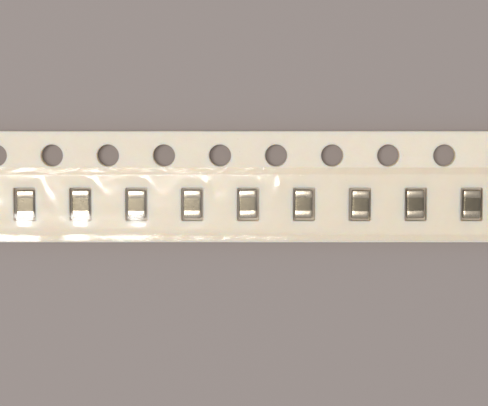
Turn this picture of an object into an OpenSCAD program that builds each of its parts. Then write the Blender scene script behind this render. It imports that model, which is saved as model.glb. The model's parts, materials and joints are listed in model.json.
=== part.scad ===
// A cut strip of punched paper carrier tape, with a chip capacitor in each pocket.
// The strip lies flat. X runs along it, Y runs across it towards the sprocket holes,
// and Z runs up from the underside of the bottom tape. Sizes are in millimetres.

/* [Strip] */
// Number of pockets on the strip, each with one chip
pocket_count = 11; // [1:1:19]
// Distance from one pocket to the next
pocket_pitch = 4; // [2.5:0.5:12]
// Width of the paper, edge to edge
tape_w = 8; // [7.9:0.1:12]

/* [Sprocket holes] */
// Diameter of a sprocket hole
hole_d = 1.55; // [1.2:0.05:1.6]
// Distance from one sprocket hole to the next
hole_pitch = 4; // [2.5:0.5:8]
// Distance from the edge of the paper to the line of sprocket holes
hole_edge = 1.75; // [1.2:0.05:1.85]
// Distance along the tape from a sprocket hole to the next pocket
hole_to_pocket = 2; // [1:0.05:2.5]
// Distance across the tape from the sprocket holes' line to the pockets' line
hole_line_to_pocket_line = 3.5; // [3.3:0.05:3.55]

/* [Pockets] */
// Clearance between a chip's side and the pocket's wall
pocket_side_gap = 0.125; // [0.05:0.025:0.3]
// Clearance between a chip's end and the pocket's wall
pocket_end_gap = 0.15; // [0.1:0.025:0.3]
// Clearance between a chip's top and the cover tape
pocket_headroom = 0.1; // [0.02:0.02:0.4]
// Radius of the pocket's corners
pocket_corner_r = 0.12; // [0.04:0.02:0.14]

/* [Chips] */
// Length of a chip, across the tape
chip_l = 2.05; // [1.6:0.05:2.3]
// Width of a chip, along the tape
chip_w = 1.3; // [0.9:0.05:1.6]
// Thickness of a chip
chip_t = 0.85; // [0.5:0.05:1.25]
// Length of the metal cap on each end of a chip
cap_l = 0.55; // [0.3:0.05:0.7]
// Thickness of the cap's metal over the ceramic
cap_t = 0.02; // [0.01:0.01:0.05]
// Rounding of the ceramic's edges under the metal
ceramic_edge_r = 0.08; // [0.04:0.02:0.16]

/* [Cover tape and bottom tape] */
// Width of the clear cover tape
cover_w = 5.3; // [4.6:0.1:5.4]
// Thickness of the clear cover tape
cover_t = 0.06; // [0.04:0.01:0.12]
// Width of the bottom tape
bottom_w = 5.3; // [4.6:0.1:5.4]
// Thickness of the bottom tape
bottom_t = 0.06; // [0.04:0.01:0.12]
// Width of the heat seal along each edge of the cover tape
seal_w = 0.5; // [0.2:0.05:0.8]
// Depth that the heat seal is pressed into the paper
seal_depth = 0.02; // [0.01:0.01:0.05]
// Width of the slope at the inner side of the heat seal
seal_slope_w = 0.06; // [0.02:0.02:0.1]

/* [Hidden] */
// Each chip lies in its pocket where it was dropped. These are shares of its free play:
// along the tape, across the tape, and turned. Counted again from the start when they run out.
SHARE_ALONG = [0.2, 0.4, 0.1, 0, 0, -0.2, -0.25, 0.55, -0.15, 0.35, -0.3];
SHARE_ACROSS = [0.3, -0.1, 0.1, 0, 0.1, 0.15, 0.1, -0.1, 0.1, 0, 0.2];
SHARE_TURN = [-0.15, 0.05, 0.1, -0.05, 0, 0.25, -0.1, -0.15, 0.15, -0.1, 0.2];

strip_l = pocket_count * pocket_pitch;
paper_t = chip_t + pocket_headroom;
paper_z = bottom_t;
paper_top = paper_z + paper_t;

hole_line = tape_w / 2 - hole_edge;
pocket_line = hole_line - hole_line_to_pocket_line;
pocket_w = chip_w + 2 * pocket_side_gap;
pocket_l = chip_l + 2 * pocket_end_gap;

ceramic_l = chip_l - 2 * cap_t;
ceramic_w = chip_w - 2 * cap_t;
ceramic_t = chip_t - 2 * cap_t;
cap_edge_r = ceramic_edge_r + cap_t;

// How far cutting shapes run past what they cut
past = 1;

PAPER = [0.91, 0.86, 0.79];
BOTTOM_PAPER = [0.93, 0.92, 0.88];
CLEAR_FILM = [0.88, 0.9, 0.9, 0.35];
CERAMIC = [0.37, 0.32, 0.25];
TIN = [0.8, 0.79, 0.76];

function two_digits(n) = n < 10 ? str("0", n) : str(n);
function chip_name(n, piece) = str("chip_", two_digits(n), "_", piece);

CHIP_PIECES = ["ceramic", "cap_hole_side", "cap_edge_side"];

$fn = 48;

// Place of pocket n along the strip, counted from 1. The strip is cut through a sprocket hole.
function pocket_x(n) = -strip_l / 2 + hole_to_pocket + (n - 1) * pocket_pitch;
function hole_x(k) = -strip_l / 2 + k * hole_pitch;
last_hole = floor(strip_l / hole_pitch + 0.001);

// The widest turn is where a chip's corners would reach the side walls of its pocket.
widest_turn = asin(2 * pocket_side_gap / chip_l);
function chip_share(shares, n) = shares[(n - 1) % len(shares)];
function chip_turn(n) = chip_share(SHARE_TURN, n) * widest_turn;
function turned_w(n) = chip_w * cos(chip_turn(n)) + chip_l * sin(abs(chip_turn(n)));
function turned_l(n) = chip_l * cos(chip_turn(n)) + chip_w * sin(abs(chip_turn(n)));
function chip_dx(n) = chip_share(SHARE_ALONG, n) * (pocket_w - turned_w(n)) / 2;
function chip_dy(n) = chip_share(SHARE_ACROSS, n) * (pocket_l - turned_l(n)) / 2;

// A rectangle around the origin, with round corners
module rounded_rect(w, l, r) {
    square([w - 2 * r, l], center = true);
    square([w, l - 2 * r], center = true);
    for (x = [-1, 1], y = [-1, 1])
        translate([x * (w / 2 - r), y * (l / 2 - r)])
            circle(r = r);
}

// A block around the origin, with every edge rounded
module rounded_block(w, l, t, r) {
    intersection() {
        linear_extrude(height = t, center = true)
            rounded_rect(w, l, r);
        rotate([90, 0, 0])
            linear_extrude(height = l, center = true)
                rounded_rect(w, t, r);
        rotate([90, 0, 90])
            linear_extrude(height = w, center = true)
                rounded_rect(l, t, r);
    }
}

// Puts what is drawn around a chip's middle where chip n lies in its pocket
module at_chip(n) {
    translate([pocket_x(n) + chip_dx(n), pocket_line + chip_dy(n), paper_z + chip_t / 2])
        rotate([0, 0, chip_turn(n)])
            children();
}

// Turns an outline drawn in Y and Z into a length of the tape
module along_strip() {
    rotate([90, 0, 90])
        linear_extrude(height = strip_l, center = true)
            children();
}

// The inner edges of the two heat seals, and the level part of the tape between them
seal_in = cover_w / 2 - seal_w;
level_half = seal_in - seal_slope_w;

// The surface of the paper under the cover tape, from edge to edge, raised by a height
function sealed_line(height) = [
    [-cover_w / 2, height - seal_depth],
    [-seal_in, height - seal_depth],
    [-level_half, height],
    [level_half, height],
    [seal_in, height - seal_depth],
    [cover_w / 2, height - seal_depth]
];

function backwards(points) = [for (i = [len(points) - 1 : -1 : 0]) points[i]];

// One heat seal pressed into the paper, on the side given by 1 or -1
module seal_groove(side) {
    polygon([
        [side * level_half, paper_top],
        [side * seal_in, paper_top - seal_depth],
        [side * cover_w / 2, paper_top - seal_depth],
        [side * cover_w / 2, paper_top]
    ]);
}

// Thick paper, punched right through: a row of pockets and a row of sprocket holes
module carrier_tape() {
    color(PAPER)
        difference() {
            translate([-strip_l / 2, -tape_w / 2, paper_z])
                cube([strip_l, tape_w, paper_t]);
            for (n = [1 : pocket_count])
                translate([pocket_x(n), pocket_line, paper_z - past])
                    linear_extrude(height = paper_t + 2 * past)
                        rounded_rect(pocket_w, pocket_l, pocket_corner_r);
            for (k = [0 : last_hole])
                translate([hole_x(k), hole_line, paper_z - past])
                    cylinder(h = paper_t + 2 * past, d = hole_d);
            for (side = [-1, 1])
                translate([0, pocket_line, 0])
                    along_strip()
                        seal_groove(side);
        }
}

// Thin paper sealed under the pockets, which closes their floors
module bottom_tape() {
    color(BOTTOM_PAPER)
        translate([-strip_l / 2, pocket_line - bottom_w / 2, 0])
            cube([strip_l, bottom_w, bottom_t]);
}

// Clear film over the pockets, pressed into the paper along both of its edges
module cover_tape() {
    color(CLEAR_FILM)
        translate([0, pocket_line, 0])
            along_strip()
                polygon(concat(sealed_line(paper_top), backwards(sealed_line(paper_top + cover_t))));
}

// The fired ceramic block of a chip
module chip_ceramic(n) {
    color(CERAMIC)
        at_chip(n)
            rounded_block(ceramic_w, ceramic_l, ceramic_t, ceramic_edge_r);
}

// The metal that wraps one end of a chip on five sides, on the side given by 1 or -1
module chip_cap(n, side) {
    color(TIN)
        at_chip(n)
            difference() {
                intersection() {
                    rounded_block(chip_w, chip_l, chip_t, cap_edge_r);
                    translate([0, side * (chip_l - cap_l), 0])
                        cube([chip_w + past, chip_l, chip_t + past], center = true);
                }
                rounded_block(ceramic_w, ceramic_l, ceramic_t, ceramic_edge_r);
            }
}

carrier_tape();
bottom_tape();
cover_tape();
for (n = [1 : pocket_count]) {
    chip_ceramic(n);
    chip_cap(n, 1);
    chip_cap(n, -1);
}
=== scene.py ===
# A short strip cut from a reel of punched paper carrier tape, with a chip capacitor in each pocket
# under a clear cover tape. The strip lies flat: X runs along it, Y across it towards the sprocket
# holes, and Z up from the underside of the bottom tape. Shapes are worked out in millimetres and
# made in metres.
import json
import math

import bmesh
import bpy
from mathutils import Matrix, Vector, geometry, noise


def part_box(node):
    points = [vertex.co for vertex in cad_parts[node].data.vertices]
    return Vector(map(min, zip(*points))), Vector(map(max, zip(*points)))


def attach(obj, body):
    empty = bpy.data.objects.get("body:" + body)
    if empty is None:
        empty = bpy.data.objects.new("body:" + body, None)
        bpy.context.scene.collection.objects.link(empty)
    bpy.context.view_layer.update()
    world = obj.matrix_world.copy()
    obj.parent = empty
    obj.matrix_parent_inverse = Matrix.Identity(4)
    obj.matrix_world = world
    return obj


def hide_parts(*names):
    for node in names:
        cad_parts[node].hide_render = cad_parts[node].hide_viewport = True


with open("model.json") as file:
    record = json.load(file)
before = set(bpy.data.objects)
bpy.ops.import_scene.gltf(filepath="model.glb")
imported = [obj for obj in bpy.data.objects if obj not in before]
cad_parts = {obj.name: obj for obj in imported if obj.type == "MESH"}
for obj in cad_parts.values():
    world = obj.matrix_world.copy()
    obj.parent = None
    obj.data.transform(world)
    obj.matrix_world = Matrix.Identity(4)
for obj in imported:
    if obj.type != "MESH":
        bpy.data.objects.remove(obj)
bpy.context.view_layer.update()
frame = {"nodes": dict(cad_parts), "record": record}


# ---- Carrier tape ----------------------------------------------------------------------------
# A strip of thick cream paper, pressed from many plies and slit to width. A punch drives the
# sprocket holes and the pockets right through it from the top, so their rims are drawn down a
# little, and the plies show on every cut edge. The heat seals of the cover tape press it flatter.

MM = 0.001
TAPE_LOW, TAPE_HIGH = (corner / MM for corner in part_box("carrier_tape"))
FILM_LOW, FILM_HIGH = (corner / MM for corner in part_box("cover_tape"))
SPROCKET_HOLES = [m for m in frame["record"]["mounts"] if m["kind"] == "bore"]
HOLE_LINE = SPROCKET_HOLES[0]["pos_m"][1] / MM
HOLE_RADIUS = SPROCKET_HOLES[0]["dims"]["r_mm"]
POCKET_LINE = (FILM_LOW.y + FILM_HIGH.y) / 2
POCKET_COUNT = sum(name.endswith("_ceramic") for name in frame["nodes"])
POCKET_PITCH = (TAPE_HIGH.x - TAPE_LOW.x) / POCKET_COUNT
POCKET_PLACES = [TAPE_LOW.x + (n + 0.5) * POCKET_PITCH for n in range(POCKET_COUNT)]
POCKET_HALF_W, POCKET_HALF_L, POCKET_CORNER = 0.775, 1.175, 0.12

# Each heat seal's width, the width of the slope along its inner side, and its depth in the paper
SEAL_W, SEAL_SLOPE_W, SEAL_DEPTH = 0.5, 0.06, 0.02

# How much deeper the upper seal is along its inner side than along its outer one, as a share
UPPER_SEAL_TILT = 0.34

# The cut edge from the top face to the bottom face: (how far in from the cut, how far down)
CUT_PROFILE = [(0.12, 0.0), (0.08, 0.004), (0.048, 0.012), (0.024, 0.026), (0.008, 0.05)]
CUT_PROFILE += [(0.0, 0.09)] + [(0.0, 0.15 + 0.08 * k) for k in range(9)]
CUT_PROFILE += [(0.0, 0.86), (0.0, 0.91), (0.004, 0.932), (0.016, 0.945), (0.05, 0.95)]

# The slit edges and the cut ends are drawn down by only this share of what the holes are
SLIT_DRAWN = 0.4

# Spacing of the points in the outlines: along the strip, across its ends, and round a pocket
ALONG_STEP, ACROSS_STEP, POCKET_STEP = 0.25, 0.14, 0.11

# Number of steps round the half hole in each cut end, round a hole, and round a pocket's corner
NOTCH_STEPS, HOLE_STEPS, CORNER_STEPS = 22, 60, 6

# Spacing of the points in the faces, in a row and from row to row, and their distance from a rim
FACE_STEP, ROW_STEP, RIM_CLEAR = 0.3, 0.27, 0.09


def eased(start, end, t):
    """0 up to start, 1 from end on, and smooth in between. Start may be the larger."""
    t = min(max((t - start) / (end - start), 0.0), 1.0)
    return t * t * (3 - 2 * t)


def uneven(x, y, z, size):
    """Chance variation from about -1 to 1, smooth, with bumps about size across. What varies only
    along and across the strip gives z a number of its own, so that no two such effects match."""
    return noise.noise(Vector((x, y, z)) / size)


def straight_cut(start, end, step):
    """Points along a straight cut, without its last one."""
    count = max(1, round(math.dist(start, end) / step))
    return [
        (start[0] + (end[0] - start[0]) * k / count, start[1] + (end[1] - start[1]) * k / count)
        for k in range(count)
    ]


def on_circle(centre, radius, degrees):
    turn = math.radians(degrees)
    return centre[0] + radius * math.cos(turn), centre[1] + radius * math.sin(turn)


def round_cut(centre, radius, first, last, count):
    """Points along a round cut from one angle to another, without its last one."""
    return [on_circle(centre, radius, first + (last - first) * k / count) for k in range(count)]


def strip_outline():
    """Round the strip, anticlockwise. Each end is cut through the middle of a sprocket hole."""
    left, right, low, high = TAPE_LOW.x, TAPE_HIGH.x, TAPE_LOW.y, TAPE_HIGH.y
    notch_low, notch_high = HOLE_LINE - HOLE_RADIUS, HOLE_LINE + HOLE_RADIUS
    outline = straight_cut((left, low), (right, low), ALONG_STEP)
    outline += straight_cut((right, low), (right, notch_low), ACROSS_STEP)
    outline += round_cut((right, HOLE_LINE), HOLE_RADIUS, 270, 90, NOTCH_STEPS)
    outline += straight_cut((right, notch_high), (right, high), ACROSS_STEP)
    outline += straight_cut((right, high), (left, high), ALONG_STEP)
    outline += straight_cut((left, high), (left, notch_high), ACROSS_STEP)
    outline += round_cut((left, HOLE_LINE), HOLE_RADIUS, 90, -90, NOTCH_STEPS)
    outline += straight_cut((left, notch_low), (left, low), ACROSS_STEP)
    return outline


def hole_outline(x):
    """Round one sprocket hole, clockwise."""
    return round_cut((x, HOLE_LINE), HOLE_RADIUS, 360, 0, HOLE_STEPS)


def pocket_outline(x):
    """Round one pocket, clockwise."""
    out_x, out_y = POCKET_HALF_W - POCKET_CORNER, POCKET_HALF_L - POCKET_CORNER
    sides = ((1, 1), (1, -1), (-1, -1), (-1, 1))
    centres = [(x + side_x * out_x, POCKET_LINE + side_y * out_y) for side_x, side_y in sides]
    outline = []
    for k, centre in enumerate(centres):
        turn = 90 - 90 * k
        outline += round_cut(centre, POCKET_CORNER, turn, turn - 90, CORNER_STEPS)
        end_of_corner = on_circle(centre, POCKET_CORNER, turn - 90)
        next_corner = on_circle(centres[(k + 1) % 4], POCKET_CORNER, turn - 90)
        outline += straight_cut(end_of_corner, next_corner, POCKET_STEP)
    return outline


def inward(outline):
    """At each point of a cut, which way the paper lies. It is longer at a corner, so that a line
    set in from the cut stays parallel to it."""
    ways = []
    for k, here in enumerate(outline):
        before, after = Vector(outline[k - 1]), Vector(outline[(k + 1) % len(outline)])
        first, second = (Vector(here) - before).normalized(), (after - Vector(here)).normalized()
        a, b = Vector((-first.y, first.x)), Vector((-second.y, second.x))
        ways.append((a + b) / (1 + a.dot(b)))
    return ways


def seal_press(y):
    """How far the heat seals press the paper's face down, across the tape. The upper one is pressed
    a little deeper along its inner side."""
    upper = eased(FILM_HIGH.y - SEAL_W - SEAL_SLOPE_W, FILM_HIGH.y - SEAL_W, y)
    upper *= 1 - eased(FILM_HIGH.y, FILM_HIGH.y + 0.04, y)
    upper *= 1 + UPPER_SEAL_TILT * (FILM_HIGH.y - SEAL_W / 2 - y) / SEAL_W
    lower = 1 - eased(FILM_LOW.y + SEAL_W, FILM_LOW.y + SEAL_W + SEAL_SLOPE_W, y)
    return SEAL_DEPTH * max(upper, lower)


def paper_face(x, y):
    """Height of the carrier tape's top face."""
    swell = 0.006 * (1 + uneven(x, y, 3.0, 1.7)) + 0.002 * (1 + uneven(x, y, 8.0, 0.4))
    return TAPE_HIGH.z - seal_press(y) - swell * 0.6


def paper_underside(x, y):
    return TAPE_LOW.z


def raggedness(x, y, drop, number):
    """How far a cut's fibres stand back from it: torn spots, then plies, and on cut 0, the strip's
    own edge, the slow wander of the slitting knife."""
    back = 0.005 * (1 + uneven(x, y, drop * 0.6 + number, 0.16))
    back += 0.003 * (1 + uneven(number * 7.0, 0.0, drop, 0.05))
    if number == 0:
        back += 0.010 * (1 + uneven(x, 0.3 * y, 5.0, 5.0))
    return back


def add_cut(points, faces, outline, number):
    """Adds the wall of one cut, and gives its rims on the top face and on the underside."""
    drawn = 1.0 if number else SLIT_DRAWN
    ways = inward(outline)
    rings = []
    for inset, drop in CUT_PROFILE:
        ring = []
        for (x, y), way in zip(outline, ways):
            place = Vector((x, y)) + way * (inset * drawn + raggedness(x, y, drop, number))
            top = paper_face(*place)
            ring.append(len(points))
            points.append((*place, top - drop / CUT_PROFILE[-1][1] * (top - TAPE_LOW.z)))
        rings.append(ring)
    for upper, lower in zip(rings, rings[1:]):
        for k in range(len(outline)):
            n = (k + 1) % len(outline)
            faces.append((upper[k], lower[k], lower[n], upper[n]))
    return rings[0], rings[-1]


def face_rows():
    """Where the rows of points in a face lie across the tape. They are closer at the seals."""
    inner_low, inner_high = FILM_LOW.y + SEAL_W, FILM_HIGH.y - SEAL_W
    rows = [FILM_LOW.y + 0.18, FILM_LOW.y + 0.34, inner_low, inner_low + SEAL_SLOPE_W]
    rows += [inner_low + 0.2]
    rows += [inner_low + 0.45 + ROW_STEP * k for k in range(14)]
    rows += [inner_high - SEAL_SLOPE_W, inner_high, inner_high + 0.12, inner_high + 0.3]
    rows += [FILM_HIGH.y + further for further in (-0.04, 0.0, 0.04, 0.2)]
    rows += [FILM_HIGH.y + 0.46 + ROW_STEP * k for k in range(8)]
    return rows


def on_paper(x, y, gap):
    """True where the paper's face is at least gap from every cut."""
    if not (TAPE_LOW.x + gap < x < TAPE_HIGH.x - gap and TAPE_LOW.y + gap < y < TAPE_HIGH.y - gap):
        return False
    along = (x - TAPE_LOW.x) % POCKET_PITCH
    from_hole = math.hypot(min(along, POCKET_PITCH - along), y - HOLE_LINE)
    if from_hole < HOLE_RADIUS + gap:
        return False
    past_w = abs(along - POCKET_PITCH / 2) - POCKET_HALF_W
    past_l = abs(y - POCKET_LINE) - POCKET_HALF_L
    return max(past_w, past_l) > gap


def encloses(rim, x, y):
    """True if the closed line goes round the point."""
    inside = False
    for (ax, ay), (bx, by) in zip(rim, rim[1:] + rim[:1]):
        if (ay > y) != (by > y) and x < ax + (bx - ax) * (y - ay) / (by - ay):
            inside = not inside
    return inside


def add_face(points, faces, rims, gap, height):
    """Adds the face between the rims, as triangles over the rims' points and rows of new ones. A
    triangle that lies over a hole, with all three corners on its rim, is left out."""
    used = [i for rim in rims for i in rim]
    rim_of = [number for number, rim in enumerate(rims) for _ in rim]
    lines = [[points[i][:2] for i in rim] for rim in rims]
    flat = [Vector(points[i][:2]) for i in used]
    edges = []
    for rim in rims:
        start = len(edges)
        edges += [(start + k, start + (k + 1) % len(rim)) for k in range(len(rim))]
    for number, y in enumerate(face_rows()):
        x = TAPE_LOW.x + FACE_STEP * (0.5 + 0.5 * (number % 2))
        while x < TAPE_HIGH.x:
            if on_paper(x, y, gap):
                flat.append(Vector((x, y)))
                used.append(len(points))
                rim_of.append(-1)
                points.append((x, y, height(x, y)))
            x += FACE_STEP
    inside_the_edges, same_point = 2, 1e-7
    _, _, triangles, came_from, _, _ = geometry.delaunay_2d_cdt(
        flat, edges, [], inside_the_edges, same_point
    )
    for triangle in triangles:
        corners = [came_from[k][0] for k in triangle]
        found = {rim_of[k] for k in corners}
        middle = sum((flat[k] for k in corners), Vector((0, 0))) / 3
        over_hole = len(found) == 1 and min(found) > 0 and encloses(lines[min(found)], *middle)
        if not over_hole:
            faces.append([used[k] for k in corners])


def made_piece(name, points, faces, finish):
    """A piece from points in millimetres, with its faces turned outwards and shaded smooth. Only
    its edges sharper than 50 degrees stay sharp."""
    mesh = bpy.data.meshes.new(name)
    mesh.from_pydata([Vector(p) * MM for p in points], [], faces)
    shape = bmesh.new()
    shape.from_mesh(mesh)
    bmesh.ops.recalc_face_normals(shape, faces=shape.faces)
    shape.to_mesh(mesh)
    shape.free()
    mesh.shade_smooth()
    mesh.set_sharp_from_angle(angle=math.radians(50))
    mesh.materials.append(finish)
    piece = bpy.data.objects.new(name, mesh)
    bpy.context.scene.collection.objects.link(piece)
    return piece


def feed(tree, node, sockets):
    """Gives each of the node's named inputs a plain value, or the output that feeds it."""
    for name, value in sockets.items():
        if isinstance(value, bpy.types.NodeSocket):
            tree.links.new(value, node.inputs[name])
        else:
            node.inputs[name].default_value = value


def shader(tree, kind, sockets=None, **settings):
    """A new shader node, with what its inputs get and its settings."""
    node = tree.nodes.new(kind)
    for name, value in settings.items():
        setattr(node, name, value)
    feed(tree, node, sockets or {})
    return node


def blended(tree, amount, base, laid_over):
    """The base colour with another laid over it by amount. A plain colour has three numbers."""
    colours = [c if isinstance(c, bpy.types.NodeSocket) else (*c, 1.0) for c in (base, laid_over)]
    sockets = {0: amount, 6: colours[0], 7: colours[1]}
    return shader(tree, "ShaderNodeMix", sockets, data_type="RGBA").outputs[2]


def spread(tree, value, low, high, to_low=0.0, to_high=1.0):
    """A value stretched from one range to another, and kept within it."""
    ranges = {0: value, 1: low, 2: high, 3: to_low, 4: to_high}
    return shader(tree, "ShaderNodeMapRange", ranges).outputs[0]


def maths(tree, what, first, second=0.0):
    return shader(tree, "ShaderNodeMath", {0: first, 1: second}, operation=what).outputs[0]


def scaled(tree, places, by):
    """Coordinates multiplied by a number of their own for each of X, Y and Z."""
    node = shader(tree, "ShaderNodeVectorMath", {0: places, 1: by}, operation="MULTIPLY")
    return node.outputs[0]


def millimetres(tree):
    """The piece's own coordinates, in millimetres."""
    places = shader(tree, "ShaderNodeTexCoord").outputs["Object"]
    return scaled(tree, places, (1 / MM, 1 / MM, 1 / MM))


def grain(tree, places, scale, detail=2.0, roughness=0.5, distortion=0.0):
    """Soft chance variation from 0 to 1, with scale bumps to the millimetre."""
    sockets = {
        "Vector": places, "Scale": scale, "Detail": detail, "Roughness": roughness,
        "Distortion": distortion,
    }
    return shader(tree, "ShaderNodeTexNoise", sockets).outputs[0]


def relief(tree, height, strength, depth):
    """The normal of a face with fine relief, where a height of 1 stands out by depth, in mm."""
    sockets = {"Strength": strength, "Distance": depth * MM, "Height": height}
    return shader(tree, "ShaderNodeBump", sockets).outputs[0]


def bare_material(name):
    """A new material and its empty node tree."""
    material = bpy.data.materials.new(name)
    material.use_nodes = True
    material.node_tree.nodes.clear()
    return material, material.node_tree


def finish_for(name):
    """A new material, its node tree, and its Principled shader already joined to the output."""
    material, tree = bare_material(name)
    surface = shader(tree, "ShaderNodeBsdfPrincipled")
    shader(tree, "ShaderNodeOutputMaterial", {"Surface": surface.outputs[0]})
    return material, tree, surface


def new_group(name, inputs, outputs):
    """A node group with these inputs and outputs, and the sockets that its inputs come in by."""
    group = bpy.data.node_groups.new(name, "ShaderNodeTree")
    for label, value in inputs.items():
        socket = group.interface.new_socket(label, in_out="INPUT", socket_type="NodeSocketFloat")
        socket.default_value = value
    for label in outputs:
        group.interface.new_socket(label, in_out="OUTPUT", socket_type="NodeSocketFloat")
    return group, shader(group, "NodeGroupInput").outputs


def make_fibre_group():
    """Paper's fibres, the cloudy look of its pulp, and stray dark specks. Lengths are in mm."""
    group, given = new_group(
        "paper_fibres", {"Fibre Length": 0.6, "Fibre Width": 0.035, "Cloud Size": 1.1},
        ("Fibres", "Clouds", "Specks", "Height"),
    )
    places = millimetres(group)
    along = maths(group, "DIVIDE", 1.0, given["Fibre Length"])
    across = maths(group, "DIVIDE", 1.0, given["Fibre Width"])
    stretch = shader(group, "ShaderNodeCombineXYZ", {0: along, 1: across, 2: across}).outputs[0]
    fibres = 0.0
    for turn in (6.0, 58.0, 121.0):
        sockets = {"Vector": places, "Axis": (0.1, 0.06, 1.0), "Angle": math.radians(turn)}
        turned = shader(group, "ShaderNodeVectorRotate", sockets).outputs[0]
        strand = grain(group, scaled(group, turned, stretch), 1.0, 1.0, 0.5, 0.6)
        fibres = maths(group, "MAXIMUM", fibres, spread(group, strand, 0.5, 0.8))
    clouds = grain(group, places, maths(group, "DIVIDE", 1.0, given["Cloud Size"]), 4.0, 0.6)
    cells = shader(group, "ShaderNodeTexVoronoi", {"Vector": places, "Scale": 1.7}).outputs
    near = spread(group, cells["Distance"], 0.03, 0.09, 1.0, 0.0)
    lot = shader(group, "ShaderNodeSeparateColor", {0: cells["Color"]}).outputs[0]
    pulp = grain(group, places, 16.0, 3.0, 0.6)
    shader(group, "NodeGroupOutput", {
        "Fibres": fibres,
        "Clouds": spread(group, clouds, 0.3, 0.7),
        "Specks": maths(group, "MULTIPLY", near, maths(group, "GREATER_THAN", lot, 0.72)),
        "Height": maths(group, "ADD", maths(group, "MULTIPLY", fibres, 0.45), pulp),
    })
    return group


fibre_group = make_fibre_group()


def make_carrier_finish():
    """Uncoated cream board. Its cut edges show its plies as fine level lines and are painted darker
    and browner, partly their own cut tone and partly painted shade for the deep pocket and hole
    walls.
    """
    face, cloudy, fibre = (0.892, 0.790, 0.680), (0.857, 0.745, 0.630), (0.925, 0.845, 0.76)
    # The two cut-edge colours are partly the plies' own tone and partly painted shade, darker and
    # browner than the face to stand for the shade down the walls.
    speck, shaded_cut_ply, shaded_cut_gap = (0.42, 0.30, 0.19), (0.88, 0.77, 0.61), (0.80, 0.67, 0.48)
    material, tree, surface = finish_for("carrier_paper")
    paper = shader(tree, "ShaderNodeGroup", node_tree=fibre_group).outputs
    colour = blended(tree, maths(tree, "MULTIPLY", paper["Clouds"], 0.55), face, cloudy)
    colour = blended(tree, maths(tree, "MULTIPLY", paper["Fibres"], 0.35), colour, fibre)
    colour = blended(tree, maths(tree, "MULTIPLY", paper["Specks"], 0.30), colour, speck)
    layers = scaled(tree, millimetres(tree), (0.8, 0.8, 17.0))
    plies = spread(tree, grain(tree, layers, 1.0, 3.0, 0.6, 0.3), 0.36, 0.62)
    normal = shader(tree, "ShaderNodeNewGeometry").outputs["Normal"]
    up = shader(tree, "ShaderNodeSeparateXYZ", {0: normal}).outputs[2]
    cut = spread(tree, maths(tree, "ABSOLUTE", up), 0.85, 0.35)
    height = blended(tree, cut, paper["Height"], plies)
    feed(tree, surface, {
        # Every steep face takes the cut-edge colours, so each wall carries that painted shade.
        "Base Color": blended(tree, cut, colour, blended(tree, plies, shaded_cut_gap, shaded_cut_ply)),
        "Roughness": spread(tree, paper["Fibres"], 0.0, 1.0, 0.86, 0.72),
        "Specular IOR Level": 0.3,
        "Subsurface Weight": 0.9,
        "Subsurface Radius": (1.2, 0.85, 0.5),
        "Subsurface Scale": MM,
        "Normal": relief(tree, height, 0.55, 0.012),
    })
    return material


def make_carrier():
    outlines = [strip_outline()]
    outlines += [hole_outline(m["pos_m"][0] / MM) for m in SPROCKET_HOLES]
    outlines += [pocket_outline(x) for x in POCKET_PLACES]
    points, faces = [], []
    rims = [add_cut(points, faces, outline, number) for number, outline in enumerate(outlines)]
    top_rims, bottom_rims = zip(*rims)
    add_face(points, faces, top_rims, CUT_PROFILE[0][0] + RIM_CLEAR, paper_face)
    add_face(points, faces, bottom_rims, CUT_PROFILE[-1][0] + RIM_CLEAR, paper_underside)
    return made_piece("paper_carrier", points, faces, make_carrier_finish())


carrier = make_carrier()
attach(carrier, "root")
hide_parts("carrier_tape")


# ---- Bottom tape -----------------------------------------------------------------------------
# Thin pale paper, heat sealed under the pockets to close their floors. Its underside shows the
# two seals and, faintly, where the pockets are.

BOTTOM_LOW, BOTTOM_HIGH = (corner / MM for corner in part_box("bottom_tape"))
BOTTOM_STEPS_ALONG, BOTTOM_STEPS_ACROSS = 352, 44

# How deep the heat seals and the rims of the pockets dent the underside
SEAL_DENT, POCKET_DENT = 0.012, 0.016


def stepped(low, high, count):
    """Even steps from low to high, with both of them."""
    return [low + (high - low) * k / count for k in range(count + 1)]


def tape_sheet(xs, ys, upper_face, lower_face):
    """Points and faces of a thin closed sheet, cut square, from the heights of its two faces."""
    points = [(x, y, face(x, y)) for face in (upper_face, lower_face) for x in xs for y in ys]
    along, across = len(xs) - 1, len(ys) - 1
    width, under = across + 1, (along + 1) * (across + 1)
    faces = []
    for i in range(along):
        for j in range(across):
            a = i * width + j
            faces.append((a, a + width, a + width + 1, a + 1))
            faces.append((a + under, a + under + 1, a + under + width + 1, a + under + width))
    rim = [i * width for i in range(along + 1)]
    rim += [along * width + j for j in range(1, across + 1)]
    rim += [i * width + across for i in range(along - 1, -1, -1)]
    rim += list(range(across - 1, 0, -1))
    for here, after in zip(rim, rim[1:] + rim[:1]):
        faces.append((here, here + under, after + under, after))
    return points, faces


def from_pocket_middle(x):
    """How far along the strip a point is from the middle of the nearest pocket."""
    nearest = min(max(round((x - POCKET_PLACES[0]) / POCKET_PITCH), 0), POCKET_COUNT - 1)
    return x - POCKET_PLACES[nearest]


def from_pocket(x, y):
    """How far a point is outside the nearest pocket's wall, or less than 0 inside it."""
    out_w = abs(from_pocket_middle(x)) - POCKET_HALF_W
    out_l = abs(y - POCKET_LINE) - POCKET_HALF_L
    if out_w > 0 and out_l > 0:
        return math.hypot(out_w, out_l)
    return max(out_w, out_l)


def bottom_underside(x, y):
    """Height of the bottom tape's underside: dented along the seals and round each pocket."""
    edge = min(y - BOTTOM_LOW.y, BOTTOM_HIGH.y - y)
    seal = eased(0.05, 0.12, edge) * (1 - eased(SEAL_W, SEAL_W + 0.1, edge))
    ring = math.exp(-((from_pocket(x, y) - 0.03) / 0.09) ** 2)
    waves = 0.004 * (1 + uneven(x, y, 21.0, 1.3)) + 0.0015 * (1 + uneven(x, y, 2.0, 0.25))
    return BOTTOM_LOW.z + waves + SEAL_DENT * seal + POCKET_DENT * ring


def bottom_upper_face(x, y):
    return BOTTOM_HIGH.z


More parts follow.
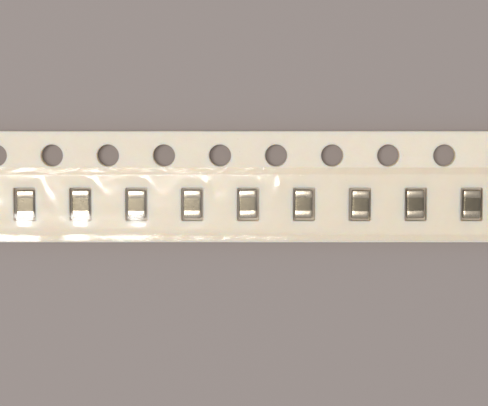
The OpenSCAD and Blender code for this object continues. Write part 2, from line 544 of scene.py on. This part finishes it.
def make_bottom_finish():
    """Thin tissue-like paper with longer fibres than the carrier's."""
    face, cloudy, fibre = (0.88, 0.79, 0.67), (0.83, 0.73, 0.60), (0.92, 0.85, 0.76)
    material, tree, surface = finish_for("bottom_tape_paper")
    own = {"Fibre Length": 1.3, "Fibre Width": 0.05, "Cloud Size": 0.7}
    paper = shader(tree, "ShaderNodeGroup", own, node_tree=fibre_group).outputs
    colour = blended(tree, maths(tree, "MULTIPLY", paper["Clouds"], 0.6), face, cloudy)
    colour = blended(tree, maths(tree, "MULTIPLY", paper["Fibres"], 0.5), colour, fibre)
    feed(tree, surface, {
        "Base Color": colour,
        "Roughness": spread(tree, paper["Clouds"], 0.0, 1.0, 0.62, 0.8),
        "Specular IOR Level": 0.35,
        "Normal": relief(tree, paper["Height"], 0.6, 0.012),
    })
    return material


def make_bottom_tape():
    xs = stepped(BOTTOM_LOW.x, BOTTOM_HIGH.x, BOTTOM_STEPS_ALONG)
    ys = stepped(BOTTOM_LOW.y, BOTTOM_HIGH.y, BOTTOM_STEPS_ACROSS)
    sheet = tape_sheet(xs, ys, bottom_upper_face, bottom_underside)
    return made_piece("paper_bottom_tape", *sheet, make_bottom_finish())


bottom_tape = make_bottom_tape()
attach(bottom_tape, "root")
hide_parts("bottom_tape")


# ---- Chip capacitors: ceramic blocks ---------------------------------------------------------
# A block of fired ceramic, tumbled before plating, so that its edges are round and its faces are
# slightly full. It is a dark olive brown with a fine, faintly glossy grain. Under its caps it is
# drawn in a little, which leaves room for their metal.

CHIP_NUMBERS = [f"{n:02d}" for n in range(1, POCKET_COUNT + 1)]
CERAMIC_HALF_W, CERAMIC_HALF_L, CERAMIC_HALF_T, CERAMIC_EDGE = 0.63, 1.005, 0.405, 0.06

# How far the block is drawn in under its caps, and where that slope starts and ends
CERAMIC_WAIST, WAIST_START, WAIST_END = 0.036, 0.53, 0.60

# How far the faces stand full in their middles, where the block is bare and under its caps
CERAMIC_FULL, COVERED_FULL = 0.006, 0.004

# Steps in the girth of a chip, round the quarter circle of each edge and along each face
EDGE_STEPS, FLAT_STEPS = 5, 8

# Where the girths lie along the block, from its middle to where its end begins to round off
CERAMIC_GIRTHS = [0.18, 0.35, 0.515, WAIST_START, WAIST_END, 0.75]


def chip_place(number):
    """The middle of a chip, and its turn in its pocket, from where its two ends are."""
    ends = []
    for side in ("cap_hole_side", "cap_edge_side"):
        low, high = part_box(f"chip_{number}_{side}")
        ends.append((low + high) / 2 / MM)
    way = ends[0] - ends[1]
    return (ends[0] + ends[1]) / 2, math.atan2(-way.x, way.y)


def set_down(number, points):
    """Points of a chip at the origin, moved to where the chip lies in its pocket."""
    middle, turn = chip_place(number)
    c, s = math.cos(turn), math.sin(turn)
    return [
        (middle.x + c * x - s * y, middle.y + s * x + c * y, middle.z + z) for x, y, z in points
    ]


def girth(y, half_w, half_t, edge, full):
    """Once round a chip at y: four round edges, and faces that stand full in their middles."""
    ring = []
    for quarter, (side_x, side_z) in enumerate(((1, 1), (-1, 1), (-1, -1), (1, -1))):
        edge_x, edge_z = side_x * (half_w - full - edge), side_z * (half_t - full - edge)
        for k in range(EDGE_STEPS + 1):
            turn = math.radians(90 * (quarter + k / EDGE_STEPS))
            ring.append((edge_x + edge * math.cos(turn), y, edge_z + edge * math.sin(turn)))
        length = 2 * abs(edge_z if quarter % 2 else edge_x)
        out, ahead = math.radians(90 * (quarter + 1)), math.radians(90 * (quarter + 2))
        start_x, _, start_z = ring[-1]
        for k in range(1, FLAT_STEPS):
            share = k / FLAT_STEPS
            swell = full * (1 - (2 * share - 1) ** 2)
            x = start_x + math.cos(ahead) * length * share + math.cos(out) * swell
            z = start_z + math.sin(ahead) * length * share + math.sin(out) * swell
            ring.append((x, y, z))
    return ring


def lofted(first_tip, rings, last_tip):
    """A closed skin from one tip, over rings of as many points each, to another tip."""
    points, count = [first_tip], len(rings[0])
    for ring in rings:
        points += ring
    points.append(last_tip)
    last_ring = 1 + (len(rings) - 1) * count
    faces = []
    for k in range(count):
        n = (k + 1) % count
        faces.append((0, 1 + k, 1 + n))
        for a in range(1, last_ring, count):
            faces.append((a + k, a + count + k, a + count + n, a + n))
        faces.append((len(points) - 1, last_ring + n, last_ring + k))
    return points, faces


def shrunk(ring, y, share):
    """A ring drawn in towards the chip's axis, at another place along it."""
    return [(x * share, y, z * share) for x, _, z in ring]


def facing(side, rings):
    """Rings of the end at +Y, as they are or turned over to the other end."""
    return [[(x, side * y, z) for x, y, z in ring] for ring in rings]


def ceramic_end():
    """Rings over the end of the ceramic at +Y, from near its middle out to its long faces."""
    rounded = []
    for k in range(1, EDGE_STEPS + 1):
        turn = math.radians(90 * k / EDGE_STEPS)
        y = CERAMIC_HALF_L - CERAMIC_EDGE * (1 - math.cos(turn))
        less = CERAMIC_WAIST + CERAMIC_EDGE * (1 - math.sin(turn))
        half_w, half_t = CERAMIC_HALF_W - less, CERAMIC_HALF_T - less
        rounded.append(girth(y, half_w, half_t, max(CERAMIC_EDGE - less, 0.012), COVERED_FULL))
    flat = [shrunk(rounded[0], CERAMIC_HALF_L, share) for share in (0.35, 0.7, 0.97)]
    return flat + rounded


def ceramic_girth(y, full):
    """Once round the ceramic at y. It is drawn in under the caps."""
    less = CERAMIC_WAIST * eased(WAIST_START, WAIST_END, abs(y))
    return girth(y, CERAMIC_HALF_W - less, CERAMIC_HALF_T - less, CERAMIC_EDGE, full)


def make_patches_group():
    """The soft patches and the fine grain of a fired or plated surface. Scales are in bumps to
    the millimetre, and the floor is the noise value at which a patch begins."""
    group, given = new_group(
        "patches_and_grain",
        {"Patch Scale": 3.0, "Patch Detail": 3.0, "Patch Floor": 0.35, "Grain Scale": 40.0},
        ("Patches", "Grain"),
    )
    places = millimetres(group)
    patches = grain(group, places, given["Patch Scale"], given["Patch Detail"], 0.6)
    shader(group, "NodeGroupOutput", {
        "Patches": spread(group, patches, given["Patch Floor"], 0.68),
        "Grain": grain(group, places, given["Grain Scale"], 2.0, 0.6),
    })
    return group


patches_group = make_patches_group()


def make_ceramic_finish():
    """Dark fired ceramic in two close browns, with paler grains and a soft gloss."""
    dark, olive, pale = (0.018, 0.013, 0.006), (0.032, 0.023, 0.010), (0.08, 0.06, 0.034)
    material, tree, surface = finish_for("chip_ceramic")
    own = {"Patch Scale": 2.6, "Patch Detail": 4.0, "Patch Floor": 0.32, "Grain Scale": 44.0}
    fired = shader(tree, "ShaderNodeGroup", own, node_tree=patches_group).outputs
    fine = spread(tree, fired["Grain"], 0.35, 0.70)
    colour = blended(tree, fired["Patches"], dark, olive)
    feed(tree, surface, {
        "Base Color": blended(tree, maths(tree, "MULTIPLY", fine, 0.22), colour, pale),
        "Roughness": spread(tree, fired["Patches"], 0.0, 1.0, 0.22, 0.28),
        "IOR": 1.9,
        "Specular Tint": (1.0, 0.86, 0.60, 1.0),
        "Normal": relief(tree, fine, 0.2, 0.004),
    })
    return material


def make_ceramic_block(number, finish):
    places = [-y for y in CERAMIC_GIRTHS[::-1]] + [0] + CERAMIC_GIRTHS
    rings = facing(-1, ceramic_end())
    rings += [ceramic_girth(y, CERAMIC_FULL) for y in places]
    rings += ceramic_end()[::-1]
    skin, faces = lofted((0, -CERAMIC_HALF_L, 0), rings, (0, CERAMIC_HALF_L, 0))
    return made_piece(f"ceramic_block_{number}", set_down(number, skin), faces, finish)


ceramic_finish = make_ceramic_finish()
for number in CHIP_NUMBERS:
    block = make_ceramic_block(number, ceramic_finish)
    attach(block, "root")
    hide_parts(f"chip_{number}_ceramic")


# ---- Chip capacitors: metal end caps ---------------------------------------------------------
# Each end of a chip is dipped in metal paste, fired, and plated with matte tin. The paste draws
# back at its rim and stands full on each face, so a cap is pillowed and its rim is a little wavy.

CAP_HALF_W, CAP_HALF_L, CAP_HALF_T, CAP_EDGE, CAP_LENGTH = 0.65, 1.025, 0.425, 0.09, 0.55
CAP_END_STEPS = 6

# How far a cap's faces stand full in their middles, and at its rim, and how far its end is domed
CAP_FULL, RIM_FULL, CAP_DOME = 0.009, 0.002, 0.006

# Where a cap is thickest, as a share of its length from its rim, and how far it falls both ways
CAP_CROWN, CAP_RIM_FALL, CAP_END_FALL = 0.45, 0.0192, 0.019

# Where the girths lie along a cap, as shares of its length, from its rim to its rounded end
CAP_SHARES = [0.0, 0.02, 0.07, 0.13, 0.20, 0.28, 0.36, 0.45, 0.54, 0.62, 0.70, 0.78, 0.85]


def cap_fall(share):
    """How far the cap's faces fall below its crown, from its rim, at 0, towards its end, at 1."""
    if share < CAP_CROWN:
        return CAP_RIM_FALL * ((CAP_CROWN - share) / CAP_CROWN) ** 2
    return CAP_END_FALL * ((share - CAP_CROWN) / (CAP_SHARES[-1] - CAP_CROWN)) ** 2


def cap_end():
    """Rings over the domed end of a cap, from near its middle out to its long faces."""
    start = CAP_HALF_L - CAP_LENGTH * (1 - CAP_SHARES[-1])
    rounded = []
    for k in range(CAP_END_STEPS, 0, -1):
        turn = math.radians(90 * k / CAP_END_STEPS)
        y = start + (CAP_HALF_L - CAP_DOME - start) * math.sin(turn)
        less = CAP_END_FALL + CAP_EDGE * (1 - math.cos(turn))
        edge = max(CAP_EDGE - less * 0.6, 0.02)
        rounded.append(girth(y, CAP_HALF_W - less, CAP_HALF_T - less, edge, CAP_FULL))
    domed = [shrunk(rounded[0], CAP_HALF_L - CAP_DOME * s * s, s) for s in (0.3, 0.6, 0.85)]
    return domed + rounded


def cap_sleeve(seed):
    """Rings over a cap's long faces, from its end to its rim, which is wavy."""
    rings = []
    for share in CAP_SHARES[::-1]:
        y, less = CAP_HALF_L - CAP_LENGTH * (1 - share), cap_fall(share)
        full = (CAP_FULL - RIM_FULL) * eased(0.0, 0.3, share) + RIM_FULL
        wavy = 1 - eased(0.0, 0.5, share)
        ring = []
        for x, y, z in girth(y, CAP_HALF_W - less, CAP_HALF_T - less, CAP_EDGE - less, full):
            wave = 0.020 * uneven(x + seed, z, seed, 0.45) + 0.008 * uneven(x, z, seed, 0.12)
            ring.append((x, y + wave * wavy, z))
        rings.append(ring)
    return rings


def cap_inside(rim):
    """Rings along the inside of a cap, from its rim to its closed end, over the ceramic."""
    first = ceramic_girth(CAP_HALF_L - CAP_LENGTH, COVERED_FULL)
    rings = [[(x, rim_y, z) for (x, _, z), (_, rim_y, _) in zip(first, rim)]]
    for y in (WAIST_START, WAIST_END, 0.75, CERAMIC_HALF_L - CERAMIC_EDGE):
        rings.append(ceramic_girth(y, COVERED_FULL))
    return rings + ceramic_end()[::-1][1:]


def make_tin_finish():
    """Matte tin over a fired metal film, with fine crystals, shallow dimples and dull patches."""
    bright, dull = (0.43, 0.382, 0.315), (0.33, 0.290, 0.234)
    material, tree, surface = finish_for("tin_plating")
    own = {"Patch Scale": 3.2, "Patch Detail": 3.0, "Patch Floor": 0.35, "Grain Scale": 34.0}
    plated = shader(tree, "ShaderNodeGroup", own, node_tree=patches_group).outputs
    dimples = grain(tree, millimetres(tree), 6.0)
    height = maths(tree, "ADD", dimples, maths(tree, "MULTIPLY", plated["Grain"], 0.16))
    feed(tree, surface, {
        "Base Color": blended(tree, plated["Patches"], bright, dull),
        "Roughness": spread(tree, plated["Patches"], 0.0, 1.0, 0.235, 0.285),
        "Metallic": 1.0,
        "Normal": relief(tree, height, 0.16, 0.012),
    })
    return material


def make_cap(number, side, side_name, finish):
    """The cap on one end of a chip: a closed shell, over its outside and back along its inside."""
    sleeve = cap_sleeve(side * 3.0 + float(number) * 11.0)
    rings = facing(side, cap_end() + sleeve + cap_inside(sleeve[-1]))
    skin, faces = lofted((0, side * CAP_HALF_L, 0), rings, (0, side * CERAMIC_HALF_L, 0))
    return made_piece(f"tin_cap_{number}_{side_name}", set_down(number, skin), faces, finish)


tin_finish = make_tin_finish()
for number in CHIP_NUMBERS:
    for side, side_name in ((1, "hole_side"), (-1, "edge_side")):
        cap = make_cap(number, side, side_name, tin_finish)
        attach(cap, "root")
        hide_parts(f"chip_{number}_cap_{side_name}")


# ---- Cover tape ------------------------------------------------------------------------------
# Clear film, heat sealed to the paper along both of its edges. It is slack towards its left-hand
# end, where it stands off the paper in low waves and creases and sags into the pockets, and
# tighter along the rest of the strip.

FILM_STEPS_ALONG = 430

# The film's thickness, its deepest sag into a pocket, and how high its lower edge curls up
FILM_T, FILM_SAG, FILM_CURL = 0.024, 0.048, 0.040

# Up to where along the strip the film is slack, and from where on it is tight
SLACK_END, TIGHT_FROM = -13.0, -5.0

# Creases in the film: (where each starts along the upper seal, its lean, how high it stands from
# 0 to 1, the length in which it rises, its whole length)
FILM_CREASES = [
    (-18.9, 0.40, 0.50, 0.30, 1.8),
    (-15.0, 0.43, 0.60, 0.30, 3.8),
    (-11.3, 0.60, 0.60, 0.30, 1.7),
    (-7.6, 0.65, 0.50, 0.30, 1.5),
    (-3.1, 0.20, 0.70, 0.80, 2.2),
    (0.8, 0.10, 0.35, 0.70, 1.8),
    (2.2, 0.00, 0.80, 0.85, 2.2),
]


def film_slack(x):
    """From 1 where the film is slack, towards its left-hand end, down to where it is tight."""
    return 1.0 - 0.86 * eased(SLACK_END, TIGHT_FROM, x)


def beyond_pocket(x, y):
    """How far a point is outside the nearest pocket, rounded off as the film's soft sag does."""
    core = 0.66
    past_w = max(abs(from_pocket_middle(x)) - POCKET_HALF_W + core, 0.0)
    past_l = max(abs(y - POCKET_LINE) - POCKET_HALF_L + core, 0.0)
    return math.hypot(past_w, past_l) - core


def film_lift(x, y):
    """How far the film stands off the paper between the seals, from 0 to 1, in low waves."""
    slack = film_slack(x)
    waves = uneven(x * 0.6, y, 40.0, 1.4) + 0.3 * uneven(x, y, 44.0, 0.7)
    return min(max(0.25 + 0.24 * slack + (0.14 + 0.24 * slack) * waves, 0.0), 1.0)


def film_fold(x, y):
    """The fuller fold in which slack film stands up beside the lower end of each pocket."""
    slack, aside = film_slack(x), from_pocket_middle(x)
    fold = 0.45 * slack * math.exp(-(((aside - 0.6 * (1 - slack)) / 0.50) ** 2))
    near_pocket = 1 - eased(0.45, 1.1, beyond_pocket(x, y))
    return fold * near_pocket * eased(POCKET_LINE, POCKET_LINE - 0.9, y)


def film_crease(x, y):
    """Height of the soft creases that run from the upper seal past the pockets, from 0 to 1."""
    down = FILM_HIGH.y - SEAL_W - y
    half_width = 0.22 + 0.05 * down
    highest = 0.0
    for start, lean, height, rise, length in FILM_CREASES:
        wander = 0.10 * uneven(0.0, y, start, 0.8)
        aside = (x - start - lean * down - wander) / half_width
        along = eased(0.0, rise, down) * (1 - eased(0.35 * length, length, down))
        highest = max(highest, height * along * math.exp(-(aside**2)))
    return highest


def film_unsealed(x, y):
    """How far patches of the upper heat seal that haven't taken stand up, from 0 to 1."""
    patch = film_slack(x) * eased(0.14, 0.60, uneven(0.8 * x, 1.3 * y, 57.0, 1.0))
    in_from_edge = FILM_HIGH.y - y
    ramp = eased(0.05, SEAL_W, in_from_edge) * (1 - eased(SEAL_W, 1.2, in_from_edge))
    return 0.36 * patch * ramp


def film_curl(x, y):
    """How far the film curls up along its lower edge, which pulls unevenly."""
    pull = max(0.70 + 1.25 * uneven(x, 0.3 * y, 51.0, 1.1), 0.0)
    pull *= 0.15 + 0.85 * film_slack(x)
    return FILM_CURL * pull * (1 - eased(0.0, SEAL_W + 0.1, y - FILM_LOW.y))


def film_face(x, y):
    """Height of the cover tape's top face. It follows the paper, stands off it by a share of the
    room that the tape's solid gives it, and sags into the pockets."""
    slack, aside, beyond = film_slack(x), from_pocket_middle(x), beyond_pocket(x, y)
    rest = TAPE_HIGH.z - seal_press(y) + FILM_T
    room = FILM_HIGH.z - rest
    between_seals = eased(SEAL_W, SEAL_W + 0.4, y - FILM_LOW.y)
    between_seals *= eased(SEAL_W - 0.02, SEAL_W + 0.08, FILM_HIGH.y - y)
    lift = (film_lift(x, y) + film_fold(x, y)) * between_seals
    lift += film_crease(x, y) + film_unsealed(x, y)
    held_within = 0.90 - 0.40 * slack * math.exp(-((aside / 0.55) ** 2))
    lift *= room * eased(-0.20 * slack, held_within, beyond)
    sag = FILM_SAG * slack * eased(0.10, -0.60, beyond)
    return rest + min(lift + film_curl(x, y), room) - sag


def film_underside(x, y):
    return film_face(x, y) - FILM_T


def over_seals(tree, places):
    """1 over the heat seals and 0 between them, with edges that wander a little."""
    across = shader(tree, "ShaderNodeSeparateXYZ", {0: places}).outputs[1]
    from_middle = maths(tree, "ABSOLUTE", maths(tree, "SUBTRACT", across, POCKET_LINE))
    wander = spread(tree, grain(tree, places, 1.6, 3.0, 0.6), 0.0, 1.0, -0.11, 0.11)
    seal_edge = (FILM_HIGH.y - FILM_LOW.y) / 2 - SEAL_W
    reached = maths(tree, "ADD", from_middle, wander)
    return spread(tree, reached, seal_edge - 0.06, seal_edge + 0.06)


def mixed(tree, amount, first, second):
    """The first shader with the second over it by amount."""
    sockets = {0: amount, 1: first.outputs[0], 2: second.outputs[0]}
    return shader(tree, "ShaderNodeMixShader", sockets)


def make_film_finish():
    """Clear film with a slight haze. Its outer face mirrors, with a wider and fainter sheen round
    each highlight. Over the seals it is rippled, duller and a little milky."""
    material, tree = bare_material("clear_film")
    places = millimetres(tree)
    seal = over_seals(tree, places)
    backfacing = shader(tree, "ShaderNodeNewGeometry").outputs["Backfacing"]
    outer_face = maths(tree, "SUBTRACT", 1.0, backfacing)
    tint = blended(tree, seal, (0.998, 0.994, 0.985), (0.985, 0.973, 0.955))
    clear = shader(tree, "ShaderNodeBsdfTransparent", {"Color": tint})

    ripples = maths(tree, "MULTIPLY", grain(tree, places, 1.9, 3.0, 0.55, 0.4), seal)
    white = {"Color": (1.0, 1.0, 1.0, 1.0), "Normal": relief(tree, ripples, 1.0, 0.015)}
    rough = spread(tree, seal, 0.0, 1.0, 0.11, 0.125)
    gloss = shader(tree, "ShaderNodeBsdfGlossy", {**white, "Roughness": rough})
    sheen = shader(tree, "ShaderNodeBsdfGlossy", {**white, "Roughness": 0.36})
    mirror = shader(tree, "ShaderNodeFresnel", {"IOR": 1.64}).outputs[0]
    mirror = maths(tree, "MULTIPLY", mirror, outer_face)
    pane = mixed(tree, mirror, clear, mixed(tree, 0.12, gloss, sheen))

    haze = spread(tree, grain(tree, places, 5.0, 3.0, 0.6), 0.3, 0.7, 0.005, 0.02)
    haze = maths(tree, "ADD", haze, maths(tree, "MULTIPLY", seal, 0.02))
    haze = maths(tree, "MULTIPLY", haze, outer_face)
    milk = shader(tree, "ShaderNodeBsdfDiffuse", {"Color": (0.86, 0.83, 0.76, 1.0)})
    surface = mixed(tree, haze, pane, milk).outputs[0]
    shader(tree, "ShaderNodeOutputMaterial", {"Surface": surface})
    return material


def make_film():
    """The film, with its points closest where it leaves the upper seal and bends the most."""
    seal_edge = FILM_HIGH.y - SEAL_W
    xs = stepped(FILM_LOW.x, FILM_HIGH.x, FILM_STEPS_ALONG)
    ys = stepped(FILM_LOW.y, seal_edge - 0.10, 62)
    ys += stepped(seal_edge - 0.085, seal_edge + 0.02, 7)
    ys += stepped(seal_edge + 0.05, FILM_HIGH.y, 6)
    sheet = tape_sheet(xs, ys, film_face, film_underside)
    return made_piece("clear_cover_film", *sheet, make_film_finish())


film = make_film()
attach(film, "root")
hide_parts("cover_tape")


# ---- Table, light and camera -----------------------------------------------------------------
# A plain pale grey table, a soft lamp above the left-hand back corner and even light from all
# round. The camera looks almost straight down, from a little beyond the sprocket holes. Lamp and
# camera are placed in metres.

TABLE_HALF, TABLE_TOP = 1500.0, -0.01


def make_table():
    material, tree, surface = finish_for("table")
    feed(tree, surface, {
        "Base Color": (0.362, 0.323, 0.315, 1.0),
        "Roughness": 0.9,
        "Specular IOR Level": 0.1,
    })
    sides = ((-1, -1), (1, -1), (1, 1), (-1, 1))
    corners = [(x * TABLE_HALF, y * TABLE_HALF, TABLE_TOP) for x, y in sides]
    return made_piece("table", corners, [(0, 1, 2, 3)], material)


table = make_table()

world = bpy.data.worlds.new("even_light")
world.use_nodes = True
even_light = world.node_tree.nodes["Background"].inputs
even_light["Color"].default_value = (1.0, 0.985, 0.965, 1.0)
even_light["Strength"].default_value = 0.5
bpy.context.scene.world = world


def set_up(name, data, place, back):
    """A lamp or camera at a place, turned so that it looks away from back with X to its right."""
    stand = bpy.data.objects.new(name, data)
    bpy.context.scene.collection.objects.link(stand)
    up = back.cross(Vector((1.0, 0.0, 0.0))).normalized()
    stand.location = place
    stand.rotation_mode = "QUATERNION"
    stand.rotation_quaternion = Matrix((up.cross(back), up, back)).transposed().to_quaternion()
    return stand


lamp = bpy.data.lights.new("soft_lamp", "AREA")
lamp.shape = "RECTANGLE"
lamp.size, lamp.size_y = 0.150, 0.080
lamp.energy = 0.655
lamp.color = (1.0, 0.975, 0.94)
lamp_place = Vector((-0.066, 0.022, 0.350))
set_up("soft_lamp", lamp, lamp_place, lamp_place.normalized())

lens = bpy.data.cameras.new("camera")
lens.lens = 110.0
lens.sensor_width = 36.0
lens.clip_start, lens.clip_end = 0.001, 10.0
aim, tilt, distance = Vector((-0.00029, -0.00114, 0.00101)), math.radians(5.0), 0.1066
back = Vector((0.0, math.sin(tilt), math.cos(tilt)))
bpy.context.scene.camera = set_up("camera", lens, aim + back * distance, back)
bpy.context.scene.view_settings.view_transform = "Standard"
